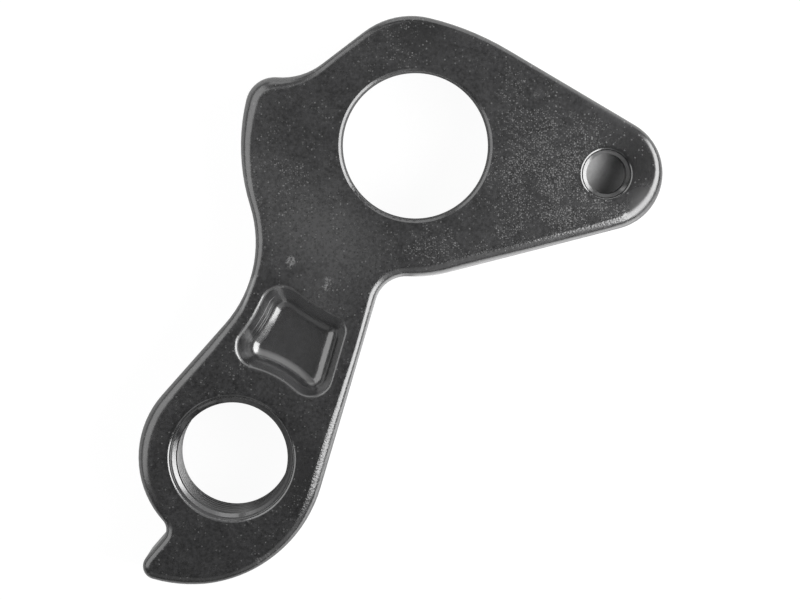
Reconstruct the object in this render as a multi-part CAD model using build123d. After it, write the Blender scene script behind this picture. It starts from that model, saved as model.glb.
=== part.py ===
from build123d import *
import math
import os

# Bicycle derailleur hanger: one aluminium plate that lies on its flat back.
# The origin is on the axle hole's axis at the back face. +X points to the front of the bicycle,
# +Y up the frame and +Z outboard, to the derailleur's side. Lengths are millimetres, angles degrees.

# Plate
plate_thickness = 7.0
front_edge_round = 0.8
back_edge_break = 0.25

# Axle hole, with the round lobe about it
axle_diameter = 12.0
axle_clearance = 0.2
axle_edge_round = 0.2
axle_wall = 4.65

# Derailleur eye: a fine metric thread, here at its tapping size, in a round lobe
thread_diameter = 10.0
thread_pitch = 1.0
tapping_share = 0.9
eye_back = 15.14
eye_down = 25.72
eye_wall = 2.77
eye_relief = 0.15
eye_relief_depth = 0.4
eye_cone_slope = 40
eye_rim_round = 0.2

# Arm tip with its blind fixing recess, dished at the bottom
recess_diameter = 3.28
recess_depth = 2.4
recess_dish = 0.26
recess_cone_run = 0.28
recess_cone_slope = 40
recess_lip_run = 0.12
recess_lip_depth = 0.25
recess_rim_round = 0.12
tip_forward = 15.65
tip_down = 2.3
tip_wall = 2.99

# Crown above the axle hole, and the ramp behind it
crown_radius = 23.2
crown_reach = 10.35
crown_angle = 70.75
crown_corner_radius = 6.4
crown_corner_angle = 76.6
ramp_slope = 37.15
dip_radius = 5.4

# Rear bulge, waist and shin, from the crown down to the eye
bulge_radius = 16.45
bulge_reach = 14.35
bulge_corner_radius = 2.4
bulge_corner_angle = 166.7
waist_radius = 10.15
shin_slope = 48.4

# Stop nub below the eye, and the heel that sweeps round to the leg's front edge
notch_radius = 1.1
stop_slope = 49.0
nub_radius = 1.1
nub_angle = 253.45
heel_radius = 11.2
heel_back = 3.45
heel_rise = 0.65
leg_slope = 73.65
armpit_radius = 2.6

# Pocket in the leg, with sloping walls
pocket_rear_land = 1.5
pocket_front_land = 1.65
pocket_eye_land = 2.72
pocket_axle_land = 9.33
pocket_depth = 2.2
rear_wall_run = 1.4
front_wall_run = 0.78
eye_wall_run = 0.78
axle_wall_run = 1.13
pocket_corner_radius = 1.75
pocket_front_corner_radius = 1.25
pocket_floor_corner_radius = 1.0
pocket_floor_round = 1.15
pocket_rim_round = 0.3

# Sizes that follow from those above
axle_bore_radius = (axle_diameter + axle_clearance) / 2
thread_bore_radius = (thread_diameter - tapping_share * thread_pitch) / 2
eye_relief_radius = thread_diameter / 2 + eye_relief
eye_back_cone_depth = eye_relief_radius - thread_bore_radius
eye_cone_depth = (thread_diameter / 2 - thread_bore_radius) * math.tan(math.radians(eye_cone_slope))
recess_radius = recess_diameter / 2
axle_center = Vector(0, 0)
eye_center = Vector(-eye_back, -eye_down)
tip_center = Vector(tip_forward, -tip_down)


def toward(angle):
    """Unit vector at an angle."""
    return Vector(math.cos(math.radians(angle)), math.sin(math.radians(angle)))


def blended(lobe, radius, angle):
    """Smaller arc that leaves a lobe from within, at an angle on the lobe."""
    center, lobe_radius = lobe
    return center + toward(angle) * (lobe_radius - radius), radius


def straight_on(lobe, angle):
    """Straight that touches a lobe: a point on it, and the angle in which it faces."""
    center, lobe_radius = lobe
    return center + toward(angle) * lobe_radius, angle


def past_straight(center, reach, straight, distance, side):
    """Point at a reach from a center and at a distance past a straight, on one side or the other."""
    point, angle = straight
    across = distance - (center - point).dot(toward(angle))
    return center + toward(angle + side * math.degrees(math.acos(across / reach))) * reach


def hollow(lobe, straight, radius, side):
    """Hollow arc that touches a lobe from outside and a straight as well."""
    center, lobe_radius = lobe
    return past_straight(center, lobe_radius + radius, straight, radius, side), -radius


def meeting(first, first_reach, second, second_reach):
    """Point at one reach from each of two centers, to the left of the way from first to second."""
    gap = second - first
    along = (first_reach**2 - second_reach**2 + gap.length**2) / (2 * gap.length)
    aside = math.sqrt(first_reach**2 - along**2)
    way = gap.normalized()
    return first + way * along + Vector(-way.Y, way.X) * aside


def closed_outline(arcs):
    """Face round arcs in counter-clockwise order, joined by straights that touch both neighbours.

    Each arc is a center and a radius, and the radius is negative where the outline is hollow.
    """
    joins = []
    for (center, radius), (next_center, next_radius) in zip(arcs, arcs[1:] + arcs[:1]):
        gap = next_center - center
        cosine = max(-1.0, min(1.0, (radius - next_radius) / gap.length))
        facing = gap.normalized().rotate(Axis.Z, -math.degrees(math.acos(cosine)))
        leave = center + facing * radius
        arrive = next_center + facing * next_radius
        if (arrive - leave).length < 0.02:
            arrive = leave
        joins.append((facing, leave, arrive))
    with BuildSketch() as sketch:
        with BuildLine():
            for (center, radius), before, after in zip(arcs, joins[-1:] + joins[:-1], joins):
                middle = (before[0] + after[0]).normalized()
                ThreePointArc(before[2], center + middle * radius, after[1])
                if after[1] != after[2]:
                    Line(after[1], after[2])
        make_face()
    return sketch.sketch


# Lobes and arcs of the plate's outline
axle_lobe = axle_center, axle_bore_radius + axle_wall
tip_lobe = tip_center, recess_radius + tip_wall
crown = toward(crown_angle) * (crown_reach - crown_radius), crown_radius
crown_corner = blended(crown, crown_corner_radius, crown_corner_angle)
bulge = Vector(bulge_radius - bulge_reach, 0), bulge_radius
bulge_corner = blended(bulge, bulge_corner_radius, bulge_corner_angle)
dip = hollow(bulge_corner, straight_on(crown_corner, 90 + ramp_slope), dip_radius, -1)
eye_lobe = eye_center, thread_diameter / 2 + eye_wall
waist = hollow(bulge, straight_on(eye_lobe, 90 + shin_slope), waist_radius, 1)
heel = eye_center + Vector(-heel_back, heel_rise), heel_radius
nub = blended(heel, nub_radius, nub_angle)
notch = hollow(eye_lobe, straight_on(nub, 90 + stop_slope), notch_radius, 1)
leg_front = straight_on(heel, leg_slope - 90)
armpit = hollow(axle_lobe, leg_front, armpit_radius, -1)

outline = closed_outline(
    [
        crown,
        crown_corner,
        dip,
        bulge_corner,
        bulge,
        waist,
        eye_lobe,
        notch,
        nub,
        heel,
        armpit,
        axle_lobe,
        tip_lobe,
    ]
)


def pocket_section(rear_run, front_run, eye_run, axle_run, corner, front_corner):
    """Four-sided section of the pocket, each side moved in by its own run of sloping wall."""
    rear_reach = waist_radius + pocket_rear_land + rear_run
    eye_reach = thread_diameter / 2 + pocket_eye_land + eye_run
    axle_reach = axle_bore_radius + pocket_axle_land + axle_run
    front_gap = pocket_front_land + front_run
    waist_center = waist[0]
    rear_low = meeting(waist_center, rear_reach + corner, eye_center, eye_reach + corner)
    front_low = past_straight(eye_center, eye_reach + corner, leg_front, -front_gap - corner, 1)
    front_high = past_straight(
        axle_center, axle_reach + front_corner, leg_front, -front_gap - front_corner, -1
    )
    rear_high = meeting(axle_center, axle_reach + corner, waist_center, rear_reach + corner)
    return closed_outline(
        [
            (rear_low, corner),
            (eye_center, -eye_reach),
            (front_low, corner),
            (front_high, front_corner),
            (axle_center, -axle_reach),
            (rear_high, corner),
            (waist_center, -rear_reach),
        ]
    )


# Shape of the hollow that the pocket leaves, with its floor's edge rounded
pocket_floor_z = plate_thickness - pocket_depth
with BuildPart() as pocket:
    rim_section = pocket_section(0, 0, 0, 0, pocket_corner_radius, pocket_front_corner_radius)
    floor_section = pocket_section(
        rear_wall_run,
        front_wall_run,
        eye_wall_run,
        axle_wall_run,
        pocket_floor_corner_radius,
        pocket_floor_corner_radius,
    )
    loft([Pos(0, 0, pocket_floor_z) * floor_section, Pos(0, 0, plate_thickness) * rim_section])
    fillet(pocket.faces().sort_by(Axis.Z)[0].edges(), pocket_floor_round)

# The plate, its edges, then each hole and the pocket
with BuildPart() as hanger:
    extrude(outline, plate_thickness)
    front_edges = hanger.faces().sort_by(Axis.Z)[-1].edges()
    back_edges = hanger.faces().sort_by(Axis.Z)[0].edges()
    fillet(front_edges, front_edge_round)
    chamfer(back_edges, back_edge_break)

    # Axle hole, rounded at the front and broken at the back
    Hole(axle_bore_radius)
    axle_edges = hanger.edges(Select.LAST).filter_by(GeomType.CIRCLE).sort_by(Axis.Z)
    fillet(axle_edges[-1], axle_edge_round)
    chamfer(axle_edges[0], back_edge_break)

    # Derailleur eye: the tapping hole, a cone at both ends and a short tapered relief at the front
    with Locations(Pos(eye_center.X, eye_center.Y)):
        Hole(thread_bore_radius)
        Cone(
            eye_relief_radius,
            thread_bore_radius,
            eye_back_cone_depth,
            align=(Align.CENTER, Align.CENTER, Align.MIN),
            mode=Mode.SUBTRACT,
        )
    with Locations(Pos(eye_center.X, eye_center.Y, plate_thickness - eye_relief_depth)):
        Cone(
            thread_bore_radius,
            thread_diameter / 2,
            eye_cone_depth,
            align=(Align.CENTER, Align.CENTER, Align.MAX),
            mode=Mode.SUBTRACT,
        )
        Cone(
            thread_diameter / 2,
            eye_relief_radius,
            eye_relief_depth,
            align=(Align.CENTER, Align.CENTER, Align.MIN),
            mode=Mode.SUBTRACT,
        )
    eye_rim = hanger.edges(Select.LAST).filter_by(GeomType.CIRCLE).sort_by(Axis.Z)[-1]
    fillet(eye_rim, eye_rim_round)

    # Fixing recess: the lip and the cone at its mouth, its wall and the dish below
    lip_radius = recess_radius + recess_cone_run
    lip_bottom_z = plate_thickness - recess_lip_depth
    recess_bottom_z = plate_thickness - recess_depth
    dish_radius = (recess_radius**2 + recess_dish**2) / (2 * recess_dish)
    with BuildSketch(Plane.XZ) as recess_half:
        with BuildLine():
            wall = Polyline(
                (0, plate_thickness),
                (lip_radius + recess_lip_run, plate_thickness),
                (lip_radius, lip_bottom_z),
                (
                    recess_radius,
                    lip_bottom_z - recess_cone_run * math.tan(math.radians(recess_cone_slope)),
                ),
                (recess_radius, recess_bottom_z),
            )
            RadiusArc(wall @ 1, (0, recess_bottom_z - recess_dish), dish_radius)
            Line((0, recess_bottom_z - recess_dish), wall @ 0)
        make_face()
    recess = revolve(recess_half.sketch, Axis.Z, mode=Mode.PRIVATE)
    add(Pos(tip_center.X, tip_center.Y) * recess, mode=Mode.SUBTRACT)
    recess_rim = hanger.edges(Select.LAST).filter_by(GeomType.CIRCLE).sort_by(Axis.Z)[-1]
    fillet(recess_rim, recess_rim_round)

    # Pocket, with its rim rounded
    add(pocket.part, mode=Mode.SUBTRACT)
    rim_edges = hanger.edges(Select.LAST).filter_by_position(Axis.Z, plate_thickness, plate_thickness)
    fillet(rim_edges, pocket_rim_round)

os.makedirs("parts", exist_ok=True)
export_step(hanger.part, "parts/derailleur_hanger.step")
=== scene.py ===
import math

import bpy
import numpy as np
from mathutils import Matrix, Vector


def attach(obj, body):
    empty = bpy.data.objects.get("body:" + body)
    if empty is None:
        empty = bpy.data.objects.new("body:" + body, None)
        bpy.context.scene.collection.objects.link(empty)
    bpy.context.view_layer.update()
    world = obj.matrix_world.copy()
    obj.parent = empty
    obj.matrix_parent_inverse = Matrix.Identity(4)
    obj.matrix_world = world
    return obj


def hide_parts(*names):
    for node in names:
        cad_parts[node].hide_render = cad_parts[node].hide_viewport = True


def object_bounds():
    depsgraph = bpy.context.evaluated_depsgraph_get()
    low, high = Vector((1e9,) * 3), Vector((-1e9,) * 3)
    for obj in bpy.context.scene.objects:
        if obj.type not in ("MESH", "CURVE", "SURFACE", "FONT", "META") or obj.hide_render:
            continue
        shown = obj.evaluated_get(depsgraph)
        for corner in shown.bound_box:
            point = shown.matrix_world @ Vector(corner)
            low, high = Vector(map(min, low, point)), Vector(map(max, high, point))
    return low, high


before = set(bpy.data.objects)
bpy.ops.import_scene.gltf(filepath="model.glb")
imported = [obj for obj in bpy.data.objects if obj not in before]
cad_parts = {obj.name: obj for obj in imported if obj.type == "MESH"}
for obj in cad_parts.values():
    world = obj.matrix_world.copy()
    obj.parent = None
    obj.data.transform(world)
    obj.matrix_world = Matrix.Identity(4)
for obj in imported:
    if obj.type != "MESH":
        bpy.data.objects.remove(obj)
cad_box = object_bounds()
bpy.ops.object.select_all(action="DESELECT")

# Hanger plate
# The hanger is one plate of aluminium alloy, milled all round and then tumbled. It starts
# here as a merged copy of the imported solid.
MM = 0.001
WELD_GAP = 0.001 * MM
hanger_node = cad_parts["derailleur_hanger"]
hanger = bpy.data.objects.new("threaded_hanger", hanger_node.data.copy())
bpy.context.scene.collection.objects.link(hanger)


def work_on(piece, mode="OBJECT"):
    """Makes one piece the only selected and active one, in a mode."""
    if bpy.context.object and bpy.context.object.mode != "OBJECT":
        bpy.ops.object.mode_set(mode="OBJECT")
    bpy.ops.object.select_all(action="DESELECT")
    piece.select_set(True)
    bpy.context.view_layer.objects.active = piece
    bpy.ops.object.mode_set(mode=mode)


work_on(hanger, "EDIT")
bpy.ops.mesh.select_all(action="SELECT")
bpy.ops.mesh.remove_doubles(threshold=WELD_GAP)
bpy.ops.mesh.customdata_custom_splitnormals_clear()
bpy.ops.object.mode_set(mode="OBJECT")

# Tumbled front edge
# The plate is tumbled before it is coated, and that wears its front edge to a round that is
# larger on the arm and the eye than in the hollows. The solid has an even round in its place.
FACE_HEIGHT = 7.0 * MM
EVEN_ROUND = 0.8 * MM
NEARLY = 0.002 * MM
CHORD_SLACK = 0.06 * MM
CUT_STEP = 1.5 * MM
FACING_UP = 0.9999
WORN_BLEND = 2.2 * MM
LEAST_WEIGHT = 1e-9
# Places along the outline and the radius of the worn round there, in millimetres.
WORN_ROUNDS = [
    ((20.3, -2.3), 0.62),
    ((19.1, 0.8), 0.7),
    ((16.3, 2.7), 0.65),
    ((11.2, 5.7), 0.6),
    ((6.0, 8.7), 0.6),
    ((0.1, 10.6), 0.6),
    ((-4.7, 8.9), 0.62),
    ((-7.6, 6.8), 0.55),
    ((-9.2, 5.9), 0.85),
    ((-11.9, 5.6), 1.25),
    ((-13.6, 4.5), 1.3),
    ((-14.2, 2.1), 1.08),
    ((-14.3, -0.6), 0.94),
    ((-13.7, -4.5), 0.78),
    ((-13.2, -8.0), 0.75),
    ((-13.6, -11.0), 0.6),
    ((-15.5, -14.5), 0.7),
    ((-17.4, -16.6), 0.96),
    ((-20.3, -19.8), 0.94),
    ((-22.1, -22.2), 1.09),
    ((-22.9, -25.2), 1.02),
    ((-22.5, -28.4), 0.92),
    ((-20.9, -31.0), 0.66),
    ((-21.9, -33.6), 0.62),
    ((-21.0, -36.0), 0.82),
    ((-14.8, -35.6), 0.65),
    ((-10.3, -32.6), 0.8),
    ((-8.0, -28.7), 1.06),
    ((-6.8, -24.6), 1.0),
    ((-5.6, -20.5), 0.82),
    ((-4.6, -17.1), 0.65),
    ((-3.6, -13.7), 0.72),
    ((-2.6, -11.5), 0.7),
    ((-0.6, -10.7), 1.15),
    ((4.6, -9.9), 1.15),
    ((10.2, -8.5), 1.06),
    ((14.8, -7.3), 1.08),
    ((17.7, -6.4), 1.18),
    ((19.1, -5.4), 1.18),
    ((20.0, -4.0), 1.0),
]


def corners():
    """Corners of the hanger's mesh, as one array."""
    work_on(hanger)
    places = np.empty(len(hanger.data.vertices) * 3)
    hanger.data.vertices.foreach_get("co", places)
    return places.reshape(-1, 3)


places = corners()
brink_height = FACE_HEIGHT - EVEN_ROUND
on_brink = abs(places[:, 2] - brink_height) < NEARLY
brink = [
    edge.vertices[:]
    for edge in hanger.data.edges
    if on_brink[edge.vertices[0]] and on_brink[edge.vertices[1]]
]
brink_start = places[[first for first, _ in brink], :2]
brink_along = places[[second for _, second in brink], :2] - brink_start


def brink_of(places):
    """Nearest points of the outline, where the round meets the side wall, and how far they are."""
    start, along = brink_start[None], brink_along[None]
    gap = places[:, None, :2] - start
    share = np.clip((gap * along).sum(2) / (along**2).sum(2), 0, 1)
    points = start + along * share[:, :, None]
    reach = np.linalg.norm(places[:, None, :2] - points, axis=2)
    nearest = reach.argmin(1)
    every = np.arange(len(places))
    return points[every, nearest], reach[every, nearest]


def in_round(places):
    """Which corners lie on the front edge's round."""
    high = places[:, 2] > brink_height - NEARLY
    found = np.zeros(len(places), bool)
    found[high] = brink_of(places[high])[1] < EVEN_ROUND + CHORD_SLACK
    return found


def select_faces(wanted):
    """Selects the faces of the hanger that a test picks, and nothing else."""
    work_on(hanger, "EDIT")
    bpy.ops.mesh.select_mode(type="FACE")
    bpy.ops.mesh.select_all(action="DESELECT")
    bpy.ops.object.mode_set(mode="OBJECT")
    for face in hanger.data.polygons:
        face.select = bool(wanted(face))
    bpy.ops.object.mode_set(mode="EDIT")


rounded = in_round(corners())
select_faces(lambda f: f.normal.z < FACING_UP and all(rounded[v] for v in f.vertices))
bpy.ops.mesh.hide(unselected=True)
for axis in (Vector((1, 0, 0)), Vector((0, 1, 0))):
    cut = cad_box[0].dot(axis) + CUT_STEP
    while cut < cad_box[1].dot(axis):
        bpy.ops.mesh.select_all(action="SELECT")
        bpy.ops.mesh.bisect(plane_co=axis * cut, plane_no=axis)
        cut += CUT_STEP
bpy.ops.mesh.reveal(select=False)
select_faces(lambda f: f.normal.z > FACING_UP and f.center.z > FACE_HEIGHT - NEARLY)
bpy.ops.mesh.delete(type="ONLY_FACE")
bpy.ops.object.mode_set(mode="OBJECT")

places = corners()
rounded = in_round(places)
edge_points, _ = brink_of(places[rounded])
worn_places = np.array([place for place, _ in WORN_ROUNDS]) * MM
worn_radii = np.array([radius for _, radius in WORN_ROUNDS])
gaps = np.linalg.norm(edge_points[:, None] - worn_places[None], axis=2)
weights = np.exp(-((gaps / WORN_BLEND) ** 2)) + LEAST_WEIGHT
worn = (weights * worn_radii).sum(1) / weights.sum(1) * MM
growth = (worn / EVEN_ROUND)[:, None]
moved = places[rounded]
moved[:, :2] = edge_points + (moved[:, :2] - edge_points) * growth
moved[:, 2:] = FACE_HEIGHT - (FACE_HEIGHT - moved[:, 2:]) * growth
places[rounded] = moved
hanger.data.vertices.foreach_set("co", places.ravel())
hanger.data.update()
work_on(hanger, "EDIT")
bpy.ops.mesh.select_mode(type="EDGE")
bpy.ops.mesh.select_all(action="DESELECT")
bpy.ops.mesh.select_non_manifold(
    extend=False,
    use_wire=False,
    use_multi_face=False,
    use_non_contiguous=False,
    use_verts=False,
)
bpy.ops.mesh.fill(use_beauty=True)
bpy.ops.mesh.select_all(action="SELECT")
bpy.ops.mesh.normals_make_consistent(inside=False)
bpy.ops.object.mode_set(mode="OBJECT")

# Turned holes
# The axle hole, the derailleur eye and the fixing recess are bored and turned. The axle hole
# has a small chamfer at its front edge and the others a small round. A cutter just larger
# than each hole turns it smooth.
TURN_SIDES = 160
TURN_SKIN = 0.015
MERGE_GAP = 0.0005 * MM
FACE_MM = FACE_HEIGHT / MM
CLEAR = 0.3
RIM_LIFT = 0.004
MOUTH_STEPS = 6
# Places, radii and heights of the holes are in millimetres, and the centres in metres.
AXLE_PLACE = (0, 0, 0)
EYE_PLACE = (-15.14, -25.72, 0)
RECESS_PLACE = (15.65, -2.3, 0)
AXLE_CENTER = Vector(AXLE_PLACE) * MM
EYE_CENTER = Vector(EYE_PLACE) * MM
RECESS_CENTER = Vector(RECESS_PLACE) * MM


def swept(profile, rise=0.0, turns=1):
    """New piece: a profile of radii and heights in millimetres, carried round the Z axis."""
    bpy.ops.mesh.primitive_plane_add(size=MM, location=(0, 0, 0))
    piece = bpy.context.object
    work_on(piece, "EDIT")
    bpy.ops.mesh.select_mode(type="VERT")
    bpy.ops.mesh.select_all(action="SELECT")
    bpy.ops.mesh.merge(type="CENTER")
    last = Vector((0, 0, 0))
    for radius, height in profile:
        point = Vector((radius, 0, height)) * MM
        if last.length == 0:
            bpy.ops.transform.translate(value=point)
        else:
            bpy.ops.mesh.extrude_region_move(TRANSFORM_OT_translate={"value": point - last})
        last = point
    bpy.ops.object.mode_set(mode="OBJECT")
    sweep = piece.modifiers.new("sweep", "SCREW")
    sweep.axis = "Z"
    sweep.angle = math.tau
    sweep.screw_offset = rise * MM
    sweep.iterations = turns
    sweep.steps = sweep.render_steps = TURN_SIDES
    sweep.use_merge_vertices = True
    sweep.merge_threshold = MERGE_GAP
    bpy.ops.object.modifier_apply(modifier="sweep")
    work_on(piece, "EDIT")
    bpy.ops.mesh.select_all(action="SELECT")
    bpy.ops.mesh.remove_doubles(threshold=MERGE_GAP)
    return piece


def cut_with(cutter, center):
    """Puts a cutter at a hole and cuts it out of the hanger."""
    work_on(cutter, "EDIT")
    bpy.ops.mesh.select_all(action="SELECT")
    bpy.ops.mesh.normals_make_consistent(inside=False)
    bpy.ops.transform.translate(value=center)
    work_on(hanger)
    cutting = hanger.modifiers.new("cutting", "BOOLEAN")
    cutting.operation = "DIFFERENCE"
    cutting.solver = "EXACT"
    cutting.object = cutter
    bpy.ops.object.modifier_apply(modifier="cutting")
    bpy.data.objects.remove(cutter)


def round_mouth(radius, size):
    """Profile of a rounded mouth, from the axis above the face down to the wall's radius."""
    rim = radius + size
    top = FACE_MM + RIM_LIFT
    angles = [math.radians(90 * step / MOUTH_STEPS) for step in range(MOUTH_STEPS + 1)]
    curve = [(rim - size * math.sin(a), top - size * (1 - math.cos(a))) for a in angles]
    return [(0, FACE_MM + CLEAR), (rim, FACE_MM + CLEAR)] + curve


def back_lead(wall, depth):
    """Profile of the wide lead-in at the back, from the wall down to the axis below the plate."""
    return [(wall, depth), (wall + depth + CLEAR, -CLEAR), (0, -CLEAR)]


AXLE_RADIUS = 6.1
AXLE_CHAMFER = math.radians(36)
AXLE_LEAD = 0.25
axle_wall = AXLE_RADIUS + TURN_SKIN
axle_rim = 6.312
axle_profile = [
    (0, FACE_MM + CLEAR),
    (axle_rim, FACE_MM + CLEAR),
    (axle_rim, FACE_MM + RIM_LIFT),
    (axle_wall, FACE_MM - (axle_rim - axle_wall) * math.tan(AXLE_CHAMFER)),
] + back_lead(axle_wall, AXLE_LEAD)
cut_with(swept(axle_profile), AXLE_CENTER)

EYE_RADIUS = 4.55
EYE_ROUND = 0.28
EYE_LEAD = 0.6
EYE_NECK_TOP = 6.6
EYE_CONE_TOP = 6.453
EYE_LEDGE_TOP = 6.21
eye_wall = EYE_RADIUS + TURN_SKIN
eye_relief = 5.08
eye_neck = 5.0 + TURN_SKIN
eye_cone = 4.95
eye_ledge = 4.66
eye_profile = round_mouth(eye_relief, EYE_ROUND) + [
    (eye_neck, EYE_NECK_TOP),
    (eye_cone, EYE_CONE_TOP),
    (eye_ledge, EYE_LEDGE_TOP),
    (eye_wall, EYE_LEDGE_TOP),
] + back_lead(eye_wall, EYE_LEAD)
cut_with(swept(eye_profile), EYE_CENTER)

RECESS_RADIUS = 1.64
RECESS_ROUND = 0.26
RECESS_CONE_TOP = 6.694
RECESS_CONE_BOTTOM = 6.52
RECESS_BOTTOM = 4.58
DISH_DEPTH = 0.26
DISH_STEPS = 8
recess_wall = RECESS_RADIUS + TURN_SKIN
recess_cone = 1.92 + TURN_SKIN
dish_shares = [1 - step / DISH_STEPS for step in range(1, DISH_STEPS + 1)]
dish_curve = [
    (recess_wall * share, RECESS_BOTTOM - DISH_DEPTH * (1 - share**2)) for share in dish_shares
]
recess_profile = round_mouth(recess_cone, RECESS_ROUND) + [
    (recess_cone, RECESS_CONE_TOP),
    (recess_wall, RECESS_CONE_BOTTOM),
    (recess_wall, RECESS_BOTTOM),
] + dish_curve
cut_with(swept(recess_profile), RECESS_CENTER)

# Thread of the derailleur eye
# The eye is tapped with a fine right-hand metric thread of 10 mm by 1 mm. A tap of that form,
# swept up its helix, cuts the groove into the plain hole of the solid.
THREAD_RADIUS = 5.0
THREAD_PITCH = 1.0
THREAD_ROOT_SHARE = 1 / 8
FLANK_ANGLE = math.radians(30)
TAP_CORE_RADIUS = 4.4
TAP_START = -1.3
TAP_TURNS = 10
TAP_CLEAR = 0.2

flank_rise = (THREAD_RADIUS - TAP_CORE_RADIUS) * math.tan(FLANK_ANGLE)
root_run = THREAD_PITCH * THREAD_ROOT_SHARE
core_run = (THREAD_PITCH - root_run) / 2 - flank_rise
root_start = TAP_START + core_run + flank_rise
tap_profile = [
    (TAP_CORE_RADIUS, TAP_START),
    (TAP_CORE_RADIUS, TAP_START + core_run),
    (THREAD_RADIUS, root_start),
    (THREAD_RADIUS, root_start + root_run),
    (TAP_CORE_RADIUS, TAP_START + THREAD_PITCH - core_run),
    (TAP_CORE_RADIUS, TAP_START + THREAD_PITCH),
]
tap = swept(tap_profile, THREAD_PITCH, TAP_TURNS)
work_on(tap, "EDIT")
for height, keep_above in ((-TAP_CLEAR * MM, True), ((FACE_MM + TAP_CLEAR) * MM, False)):
    bpy.ops.mesh.select_all(action="SELECT")
    bpy.ops.mesh.bisect(
        plane_co=(0, 0, height),
        plane_no=(0, 0, 1),
        use_fill=True,
        clear_inner=keep_above,
        clear_outer=not keep_above,
    )
cut_with(tap, EYE_CENTER)

# Rings of the turned cones
# The turning tool leaves a crisp ring where the cone of the eye and of the recess starts. All
# else on the plate runs smoothly from its rounds into its flat faces.
SMOOTH_ANGLE = math.radians(32)
sharp_rings = [
    (EYE_CENTER, eye_cone * MM, EYE_CONE_TOP * MM),
    (RECESS_CENTER, recess_cone * MM, RECESS_CONE_TOP * MM),
]
bpy.ops.object.shade_smooth_by_angle(angle=SMOOTH_ANGLE)
places = corners()
on_ring = np.zeros(len(places), int)
for number, (center, radius, height) in enumerate(sharp_rings, 1):
    reach = np.linalg.norm(places[:, :2] - np.array(center)[:2], axis=1)
    on_ring[(abs(reach - radius) < NEARLY) & (abs(places[:, 2] - height) < NEARLY)] = number
work_on(hanger, "EDIT")
bpy.ops.mesh.select_mode(type="EDGE")
bpy.ops.mesh.select_all(action="DESELECT")
bpy.ops.object.mode_set(mode="OBJECT")
for edge in hanger.data.edges:
    first, second = edge.vertices
    edge.select = bool(on_ring[first] > 0 and on_ring[first] == on_ring[second])
bpy.ops.object.mode_set(mode="EDIT")
bpy.ops.mesh.mark_sharp()
bpy.ops.object.mode_set(mode="OBJECT")
facing = hanger.modifiers.new("facing", "WEIGHTED_NORMAL")
facing.keep_sharp = True
facing.weight = 100
bpy.ops.object.modifier_apply(modifier="facing")


# Black coat
# The whole plate has a thin satin black coat. Its tone varies in a fine grain and in soft clouds,
# and it is darker in a few spots. A soft painted glow, a painted reflection of dim light from
# above, lies over the middle of the plate, with smaller patches of painted light at the bulge's
# left edge and by the pocket's upper corner.
class Wire:
    """One output of a material's node, so that the coat's maths reads as plain sums."""

    def __init__(self, tree, socket=None):
        self.tree = tree
        self.socket = socket

    def node(self, kind, settings=None, inputs=None, output=0):
        """Adds a node, sets it up, fills or joins its inputs and gives one of its outputs."""
        added = self.tree.nodes.new(kind)
        for name, value in (settings or {}).items():
            setattr(added, name, value)
        for name, value in (inputs or {}).items():
            if isinstance(value, Wire):
                self.tree.links.new(value.socket, added.inputs[name])
            else:
                added.inputs[name].default_value = value
        return Wire(self.tree, added.outputs[output] if added.outputs else None)

    def maths(self, operation, other=0.0, swapped=False):
        first, second = (other, self) if swapped else (self, other)
        return self.node("ShaderNodeMath", {"operation": operation}, {0: first, 1: second})

    def __add__(self, other):
        return self.maths("ADD", other)

    def __radd__(self, other):
        return self.maths("ADD", other)

    def __sub__(self, other):
        return self.maths("SUBTRACT", other)

    def __rsub__(self, other):
        return self.maths("SUBTRACT", other, True)

    def __mul__(self, other):
        return self.maths("MULTIPLY", other)

    def __rmul__(self, other):
        return self.maths("MULTIPLY", other)

    def smooth(self, low, high):
        """0 below low, 1 above high and a smooth rise between."""
        return self.node(
            "ShaderNodeMapRange",
            {"interpolation_type": "SMOOTHSTEP"},
            {"Value": self, "From Min": low, "From Max": high},
        )

    def between(self, start, full, fading, gone):
        """0 below start and above gone, and 1 from full to fading."""
        return self.smooth(start, full) * (1 - self.smooth(fading, gone))


def noise(place, scale, detail=2.0, roughness=0.5):
    """Noise of a scale per millimetre, about 0.5."""
    return place.node(
        "ShaderNodeTexNoise",
        {"noise_dimensions": "3D"},
        {"Vector": place, "Scale": scale, "Detail": detail, "Roughness": roughness},
    )


def gap_from(place, center):
    """How far a place on the plate is from a centre, in millimetres."""
    return place.node(
        "ShaderNodeVectorMath", {"operation": "DISTANCE"}, {0: place, 1: center}, "Value"
    )


def within(place, center, inner, outer):
    """1 nearer to a centre than an inner reach, in millimetres, and 0 past an outer one."""
    return 1 - gap_from(place, center).smooth(inner, outer)


def near(place, center, reach):
    """1 at a centre and 0 past its reach, in millimetres."""
    return within(place, center, 0.0, reach)


def gathered(place, spots):
    """Sum of some spots, each with a centre and a reach in millimetres, and a share."""
    total = 0.0
    for center, reach, share in spots:
        total = total + share * near(place, center, reach)
    return total


def painted(share, under, over):
    """One colour laid over another, by a share from 0 to 1."""
    return share.node(
        "ShaderNodeMix", {"data_type": "RGBA"}, {"Factor": share, 6: under, 7: over}, 2
    )


DARK_COAT = (0.006, 0.006, 0.0063, 1)
PALE_COAT = (0.046, 0.046, 0.0474, 1)
# A paler grey for the painted glow, a painted reflection of dim light from above.
PAINTED_GLOW_COLOR = (0.066, 0.066, 0.067, 1)
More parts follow.
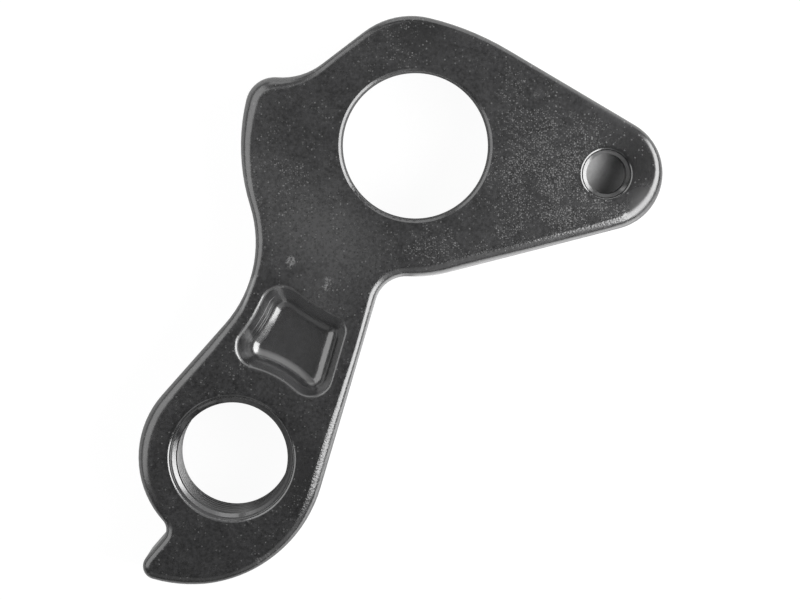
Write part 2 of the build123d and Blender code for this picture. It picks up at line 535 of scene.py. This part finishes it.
# Each spot has a centre and a reach in millimetres, and a share.
DARKER_SPOTS = [
    ((17.9, -1.2, 7.0), 5.0, 0.9),
    ((0.5, 9.6, 7.0), 4.0, 0.6),
    ((-9.5, -27.5, 7.0), 6.0, 0.6),
]
# Spots of painted glow: a painted reflection over the middle of the plate, and small patches of
# painted light at the bulge's left edge and by the pocket's upper corner.
PAINTED_GLOW_SPOTS = [
    ((-8.9, -6.6, 7.0), 6.5, 0.85),
    ((-13.3, -2.4, 7.0), 4.2, 0.55),
    ((-5.3, -9.4, 7.0), 5.0, 0.5),
    ((-13.3, 3.0, 7.0), 3.5, 0.25),
    ((-8.0, -12.5, 7.0), 3.5, 0.25),
    ((-7.9, -13.0, 6.1), 2.2, 0.5),
    ((-6.2, -14.2, 6.1), 2.0, 0.5),
]

coat = bpy.data.materials.new("black_coat")
coat.use_nodes = True
coat.node_tree.nodes.clear()
wire = Wire(coat.node_tree)
object_place = wire.node("ShaderNodeTexCoord", None, None, "Object")
place = wire.node(
    "ShaderNodeVectorMath", {"operation": "SCALE"}, {0: object_place, "Scale": 1 / MM}
)
sideways = wire.node("ShaderNodeSeparateXYZ", None, {0: place}, "X")
upward = wire.node("ShaderNodeSeparateXYZ", None, {0: place}, "Y")
height = wire.node("ShaderNodeSeparateXYZ", None, {0: place}, "Z")
flat_place = wire.node("ShaderNodeCombineXYZ", None, {"X": sideways, "Y": upward})

cloud = noise(place, 0.28, 3.0, 0.6)
blotch = noise(place, 1.1, 2.0, 0.6)
mottle = noise(place, 3.0, 2.0, 0.6)
speckle = noise(place, 4.2, 2.0, 0.55).smooth(0.3, 0.7)
coat_tone = 0.14 * cloud.smooth(0.3, 0.7) + 0.21 * blotch.smooth(0.3, 0.7)
coat_tone = coat_tone + 0.35 * mottle.smooth(0.27, 0.73) + 0.4 * speckle - 0.05
for center, reach, share in DARKER_SPOTS:
    coat_tone = coat_tone * (1 - share * near(place, center, reach))
coat_color = painted(coat_tone, DARK_COAT, PALE_COAT)
# Painted glow, grainy with the coat's speckle.
painted_glow = gathered(place, PAINTED_GLOW_SPOTS) * (0.6 + 0.8 * speckle)
with_painted_glow = painted(painted_glow, coat_color, PAINTED_GLOW_COLOR)

# Shine of the holes
# The mouths and cones of the eye and the recess are turned fine, so the coat has more shine on
# them, with a few duller stretches. The bores and the recess's dished bottom are dull. The lower
# part of the eye's mouth is painted paler, as a painted reflection.
# A pale grey for painted light: a painted reflection on the eye's mouth and painted light in the
# pocket.
PAINTED_LIGHT_GREY = (0.08, 0.08, 0.082, 1)
DISH_PLACE = RECESS_PLACE[:2] + (4.5,)
above_ledge = height.smooth(6.12, 6.2)
in_eye = within(flat_place, EYE_PLACE, 5.5, 5.6)
eye_top = in_eye * above_ledge
eye_bore = in_eye * (1 - above_ledge)
eye_rim = eye_top * within(flat_place, EYE_PLACE, 5.28, 5.36)
eye_dull = within(flat_place, EYE_PLACE, 5.02, 5.07) * sideways.smooth(-14.6, -12.6)
eye_low = eye_rim * (1 - upward.smooth(-28.9, -27.6)) * (1 - sideways.smooth(-17.0, -15.8))
# Painted reflection on the lower part of the eye's mouth.
painted_eye_reflection = eye_rim * (1 - upward.smooth(-30.0, -28.8))
recess_top = height.smooth(6.0, 6.3)
recess_mouth = within(flat_place, RECESS_PLACE, 2.25, 2.35) * recess_top
on_recess_cone = within(flat_place, RECESS_PLACE, 1.93, 1.97) * recess_top
recess_dull = on_recess_cone * sideways.smooth(14.1, 14.6) * upward.smooth(-3.6, -3.1)
recess_dim = on_recess_cone * (1 - upward.smooth(-3.1, -2.7))
recess_dish = within(place, DISH_PLACE, 1.6, 2.0)
axle_bore = within(flat_place, AXLE_PLACE, 6.13, 6.15) * (1 - height.smooth(6.78, 6.84))
on_cone = (eye_top - eye_low + recess_mouth) * (1 - recess_dull) * (1 - eye_dull)
with_painted_eye_reflection = painted(0.8 * painted_eye_reflection, with_painted_glow, PAINTED_LIGHT_GREY)

# Finish of the pocket
# The pocket is milled into the leg with a small cutter. The coat is glossy in it, and thin on its
# rear and front walls. Its floor and walls are painted paler, as painted light, and pale painted
# highlights run along its floor's lower edge, its rim and its rear wall.
POCKET_FLOOR = (-10.2, -15.9, 5.5)
POCKET_RIM = POCKET_FLOOR[:2] + (6.9,)
REAR_CORNER = (-14.1, -16.4, 6.0)
UPPER_CORNER = (-6.5, -12.5, 6.9)
# Greys for painted highlights: on the floor's lower edge and the rim, and in lines along the rear
# wall.
PAINTED_EDGE_HIGHLIGHT_GREY = (0.24, 0.24, 0.24, 1)
PAINTED_STEP_HIGHLIGHT_GREY = (0.5, 0.5, 0.5, 1)
STEP_HIGHLIGHT_HEIGHTS = (5.3, 5.55, 5.98)
STEP_HIGHLIGHT_FADE = 0.05

# How far a place is across the leg, and from the pocket's middle line, in millimetres.
leg_across = 0.96 * sideways - 0.28 * upward
across = leg_across + 5.34
in_pocket = within(place, POCKET_FLOOR, 4.3, 5.6) * (1 - height.smooth(6.7, 6.95))
in_pocket = in_pocket * across.between(-5.3, -4.9, 4.9, 5.3)
on_wall = in_pocket * height.smooth(5.1, 5.6)
front_wall = on_wall * across.smooth(2.0, 2.8) * upward.between(-19.8, -18.8, -15.4, -14.4)
rear_wall = 0.4 * (1 - across.smooth(-2.9, -2.2)) + 0.3 * within(place, REAR_CORNER, 0.9, 2.2)
rear_wall = rear_wall * in_pocket * height.smooth(5.05, 5.3)
bare_wall = rear_wall + 0.55 * front_wall
# Painted light: the pocket's floor and walls are painted paler, least on the front wall.
painted_pocket_light = 0.3 * in_pocket + 0.45 * on_wall - 0.65 * front_wall
with_painted_pocket_light = painted(painted_pocket_light, with_painted_eye_reflection, PAINTED_LIGHT_GREY)

# Painted highlight along the floor's lower edge.
painted_floor_highlight = gap_from(flat_place, EYE_PLACE).between(8.62, 8.78, 8.95, 9.35)
painted_floor_highlight = painted_floor_highlight * in_pocket * (1 - height.smooth(5.0, 5.3))
over_pocket = across.between(-4.65, -4.5, 4.35, 4.5) * within(place, POCKET_RIM, 5.8, 6.2)
rear_side = 1 - across.smooth(-3.6, -2.8)
# Painted highlight on the rim's round, strongest on the rear side.
painted_rim_highlight = over_pocket * height.between(6.72, 6.8, 6.93, 6.985)
painted_rim_highlight = painted_rim_highlight * (0.35 + 0.65 * rear_side) * (1 - near(place, UPPER_CORNER, 4.5))
with_painted_edge_highlights = painted(0.9 * painted_floor_highlight + 0.8 * painted_rim_highlight, with_painted_pocket_light, PAINTED_EDGE_HIGHLIGHT_GREY)

# Painted highlights in lines along the rear wall.
painted_step_highlights = 0.0
for middle in STEP_HIGHLIGHT_HEIGHTS:
    low, high = middle - STEP_HIGHLIGHT_FADE, middle + STEP_HIGHLIGHT_FADE
    painted_step_highlights = painted_step_highlights + height.between(low, middle, middle, high)
painted_step_highlights = painted_step_highlights * in_pocket * (1 - across.smooth(-2.6, -2.2))
painted_step_highlights = painted_step_highlights * (0.25 + 0.75 * upward.smooth(-15.6, -14.6)) * upward.smooth(-17.2, -16.6)
with_painted_step_highlights = painted(0.9 * painted_step_highlights, with_painted_edge_highlights, PAINTED_STEP_HIGHLIGHT_GREY)

# Dust, scuffs and a painted highlight
# Pale dust and flecks of polish lie on the front face, thickest on the arm and along its lower
# edge, with small dark pits among them. A few scuffs show where the plate was handled, and two
# pale marks on the heel's round are a painted highlight.
PIT_COLOR = (0.006, 0.006, 0.006, 1)
DUST_AND_PAINTED_GLINT_COLOR = (0.26, 0.26, 0.26, 1)
DUST_SPOTS = [
    ((10.4, -2.0, 7.0), 7.0, 1.15),
    ((10.6, -1.2, 7.0), 3.0, 0.45),
    ((7.6, -5.6, 7.0), 5.5, 0.25),
    ((0.5, -8.6, 7.0), 7.0, 0.4),
    ((-2.0, 8.2, 7.0), 6.0, 0.5),
    ((8.7, 4.2, 7.0), 4.5, 0.6),
    ((14.0, 0.8, 7.0), 5.0, 0.35),
    ((14.5, -6.0, 7.0), 5.0, 0.3),
    ((-11.5, -3.0, 7.0), 9.0, 0.45),
    ((-9.0, -31.0, 7.0), 8.0, 0.3),
    ((-16.0, -19.0, 7.0), 6.0, 0.3),
]
SCUFF_AND_PAINTED_GLINT_SPOTS = [
    ((-10.25, -9.4, 7.0), 0.66, 0.9),
    ((-10.2, -9.95, 7.0), 0.4, 0.5),
    ((-7.15, -11.1, 7.0), 0.75, 0.6),
    ((-7.25, -11.6, 7.0), 0.5, 0.6),
    ((12.8, 2.6, 7.0), 0.6, 0.4),
    ((12.6, -5.2, 7.0), 0.45, 0.5),
    ((9.9, 4.15, 7.0), 0.45, 0.4),
    # These two lie on the heel's round and are a painted highlight.
    ((-12.9, -34.2, 6.93), 0.5, 0.6),
    ((-12.2, -33.8, 6.93), 0.45, 0.5),
]


def specks(place, scale, size, share, fade=0.04):
    """Round specks on the face, one in some of the cells of a scale per millimetre."""
    kind = {"voronoi_dimensions": "2D", "feature": "F1"}
    cell = {"Vector": place, "Scale": scale}
    gap = place.node("ShaderNodeTexVoronoi", kind, cell, "Distance")
    pick = place.node("ShaderNodeTexVoronoi", kind, cell, "Color")
    chance = place.node("ShaderNodeSeparateColor", None, {"Color": pick}, "Red")
    shine = place.node("ShaderNodeSeparateColor", None, {"Color": pick}, "Green")
    chosen = (share - chance).smooth(0.0, fade)
    return (1 - gap.smooth(size * 0.35, size)) * chosen * (0.25 + 0.75 * shine)


# How far a place is above the arm's lower edge, in millimetres, and where that edge runs.
above_edge = 0.973 * upward - 0.229 * sideways + 10.2
along_edge = sideways.between(-2.0, 2.0, 16.5, 18.5)
on_face = height.smooth(6.4, 6.8)
patch = noise(place, 0.45, 3.0, 0.55)
dusty = 0.2 + gathered(place, DUST_SPOTS)
dusty = dusty + 0.35 * above_edge.between(0.2, 0.7, 1.6, 3.2) * along_edge
dusty = dusty * patch.smooth(0.25, 0.6) * on_face
clusters = noise(place, 0.7, 2.0).smooth(0.42, 0.6)
fine_specks = specks(place, 6.5, 0.55, 1.1 * dusty, 0.6)
few_specks = specks(place, 3.4, 0.34, (0.09 + 0.08 * clusters) * on_face + 0.14 * dusty)
pits = specks(place, 4.6, 0.45, 0.1 * on_face + 0.3 * dusty)

scuffs_and_painted_glint = 0.0
for center, reach, share in SCUFF_AND_PAINTED_GLINT_SPOTS:
    scuffs_and_painted_glint = scuffs_and_painted_glint + share * near(place, center, reach).smooth(0.0, 0.7)
scuffs_and_painted_glint = scuffs_and_painted_glint * noise(place, 5.5, 2.0, 0.65).smooth(0.38, 0.62)
# Pale specks and scuffs, and the painted highlight on the heel's round.
pale_specks_and_painted_glint = 0.6 * few_specks + 0.7 * fine_specks + scuffs_and_painted_glint
speck_and_painted_glint_share = pale_specks_and_painted_glint.smooth(0.0, 1.0)
pitted_color = painted(0.7 * pits, with_painted_step_highlights, PIT_COLOR)
speck_and_painted_glint_color = painted(0.6 * speck_and_painted_glint_share, pitted_color, DUST_AND_PAINTED_GLINT_COLOR)

# Skin of the coat
# The coat lies on a tumbled surface, so its skin has a fine grain, with small dimples on the
# leg's front edge and the arm's lower edge. It is duller on its pale specks and scuffs, on the
# painted highlight on the heel and at the arm's tip.
TIP_CORNER = (18.7, -4.6, 0)
LEG_MIDDLE = (-7.3, -26.5, 7.0)
DIMPLE_DEPTH = 0.013 * MM
GRAIN_DEPTH = 0.006 * MM
grain = noise(place, 5.5, 3.0, 0.6)
coat_roughness = 0.18 + 0.06 * cloud + 0.06 * grain + 0.15 * speck_and_painted_glint_share
coat_roughness = coat_roughness + 0.09 * within(flat_place, TIP_CORNER, 0.3, 2.2)
coat_roughness = coat_roughness + 0.5 * axle_bore
coat_roughness = coat_roughness + 0.2 * recess_dish + 0.5 * recess_dull + 0.15 * recess_dim
coat_roughness = coat_roughness + 0.15 * eye_bore + 0.4 * eye_dull + 0.14 * eye_low
coat_roughness = coat_roughness - 0.08 * on_cone

off_face = 1 - height.smooth(6.98, 6.998)
leg_edge = leg_across.smooth(-1.395, -0.995) * near(place, LEG_MIDDLE, 15.0)
arm_edge = above_edge.between(0.1, 0.4, 1.7, 2.4) * along_edge * height.smooth(5.6, 6.0)
dimples = noise(place, 6.2, 0.0) * (leg_edge + 1.1 * arm_edge) * off_face
dimpled = wire.node(
    "ShaderNodeBump",
    None,
    {"Strength": 1.0, "Distance": DIMPLE_DEPTH, "Height": dimples},
)
skin = wire.node(
    "ShaderNodeBump",
    None,
    {
        "Strength": 0.45,
        "Distance": GRAIN_DEPTH,
        "Height": grain + 0.8 * pale_specks_and_painted_glint - 0.8 * pits,
        "Normal": dimpled,
    },
)
coated = wire.node(
    "ShaderNodeBsdfPrincipled",
    None,
    {
        "Base Color": speck_and_painted_glint_color,
        "Roughness": coat_roughness,
        "Metallic": bare_wall,
        "IOR": 2.15,
        "Normal": skin,
        "Coat Weight": 0.8 * (in_pocket - bare_wall) + 0.6 * on_cone,
        "Coat Roughness": 0.1,
        "Coat IOR": 1.6,
    },
)
wire.node("ShaderNodeOutputMaterial", None, {"Surface": coated})
hanger.data.materials.clear()
hanger.data.materials.append(coat)
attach(hanger, "root")
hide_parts("derailleur_hanger")

# Table
# A plain white table on which the hanger lies flat, and which keeps a faint shadow of it. To
# the camera it glows white, and the coat mirrors a part of that glow.
TABLE_SIZE = 6
TABLE_DROP = 0.02 * MM
bpy.ops.mesh.primitive_plane_add(size=TABLE_SIZE, location=(0, 0, -TABLE_DROP))
table = bpy.context.object
table.name = "table"
table_white = bpy.data.materials.new("table_white")
table_white.use_nodes = True
table_white.node_tree.nodes.clear()
wire = Wire(table_white.node_tree)
seen = wire.node("ShaderNodeLightPath", None, None, "Is Camera Ray")
mirrored = wire.node("ShaderNodeLightPath", None, None, "Is Glossy Ray")
plain_white = wire.node("ShaderNodeBsdfDiffuse", None, {"Color": (0.85, 0.85, 0.85, 1)})
pale_white = wire.node("ShaderNodeBsdfDiffuse", None, {"Color": (0.12, 0.12, 0.12, 1)})
glow = wire.node("ShaderNodeEmission", None, {"Color": (1, 1, 1, 1), "Strength": 0.945})
shown_white = wire.node("ShaderNodeAddShader", None, {0: pale_white, 1: glow})
hidden_white = wire.node("ShaderNodeMixShader", None, {0: 0.3 * mirrored, 1: plain_white, 2: glow})
surface = wire.node("ShaderNodeMixShader", None, {0: seen, 1: hidden_white, 2: shown_white})
wire.node("ShaderNodeOutputMaterial", None, {"Surface": surface})
table.data.materials.append(table_white)

# Studio light
# Soft boxes stand close round the table: a bright one to the right, a dimmer one to the left
# with a small wing high behind it, a low one behind and two faint ones in front. A bright card
# lies in front of the arm. The room above is dim, and less so at the rear left.
CARD_AT = (35, -44, 0.05)
CARD_TOWARD = (35, -44, 10)
DIM_ROOM = (0.05, 0.05, 0.05, 1)
PALE_ROOM = (0.15, 0.15, 0.15, 1)
# Each box has its place, the place that it points to and its size in millimetres, and its shine.
SOFT_BOXES = {
    "right_box": ((77, 12.6, 70.5), (-6.5, 67.4, 70.5), (151, 97), 5.2),
    "left_box": ((-85, 15, 95), (-2, -15, 95), (158, 145), 1.3),
    "left_wing": ((-34, 92, 190), (-11, 6, 7), (55, 26), 0.9),
    "back_box": ((20, 95, 31), (20, 0, 31), (120, 52), 1.0),
    "front_wing": ((-45, -105, 85), (-41, -8, 85), (85, 115), 0.2),
    "front_box": ((46, -105, 85), (50, -8, 85), (90, 115), 0.42),
}


def soft_box(name, size, shine):
    """New flat light of a size in millimetres. A shine of 1 looks as bright as white."""
    light = bpy.data.lights.new(name, "AREA")
    light.shape = "RECTANGLE"
    light.size = size[0] * MM
    light.size_y = size[1] * MM
    light.energy = shine * math.pi * light.size * light.size_y
    lamp = bpy.data.objects.new(name, light)
    bpy.context.scene.collection.objects.link(lamp)
    return lamp


def aim(thing, at, toward, up):
    """Puts a light or a camera at a place in millimetres, and points it toward another."""
    back = (Vector(at) - Vector(toward)).normalized()
    side = Vector(up).cross(back).normalized()
    thing.location = Vector(at) * MM
    thing.rotation_mode = "QUATERNION"
    thing.rotation_quaternion = Matrix((side, back.cross(side), back)).transposed().to_quaternion()


for name, (at, toward, size, shine) in SOFT_BOXES.items():
    aim(soft_box(name, size, shine), at, toward, (0, 0, 1))
aim(soft_box("front_card", (70, 62), 1.3), CARD_AT, CARD_TOWARD, (0, -1, 0))

room = bpy.data.worlds.new("room")
bpy.context.scene.world = room
room.use_nodes = True
room.node_tree.nodes.clear()
wire = Wire(room.node_tree)
way = wire.node("ShaderNodeTexCoord", None, None, "Generated")
way_sideways = wire.node("ShaderNodeSeparateXYZ", None, {0: way}, "X")
way_upward = wire.node("ShaderNodeSeparateXYZ", None, {0: way}, "Y")
room_side = (way_upward - 0.6 * way_sideways).smooth(-0.14, 0.03)
room_color = painted(room_side, DIM_ROOM, PALE_ROOM)
air = wire.node("ShaderNodeBackground", None, {"Color": room_color, "Strength": 1.0})
wire.node("ShaderNodeOutputWorld", None, {"Surface": air})

# Camera
# The camera hangs about 214 mm above the plate and looks down, a little towards the leg. It has
# a long lens, so that little is seen of the holes' walls.
CAMERA_AT = (-0.452, -0.341, 221.0)
CAMERA_TOWARD = (-1.270, -12.628, 7.0)
camera_data = bpy.data.cameras.new("camera")
camera_data.sensor_fit = "HORIZONTAL"
camera_data.sensor_width = 36
camera_data.lens = 117.56
camera_data.clip_start = 0.01
camera_data.clip_end = 10
camera = bpy.data.objects.new("camera", camera_data)
bpy.context.scene.collection.objects.link(camera)
aim(camera, CAMERA_AT, CAMERA_TOWARD, (0, 1, 0))
bpy.context.scene.camera = camera
bpy.context.scene.view_settings.view_transform = "Standard"
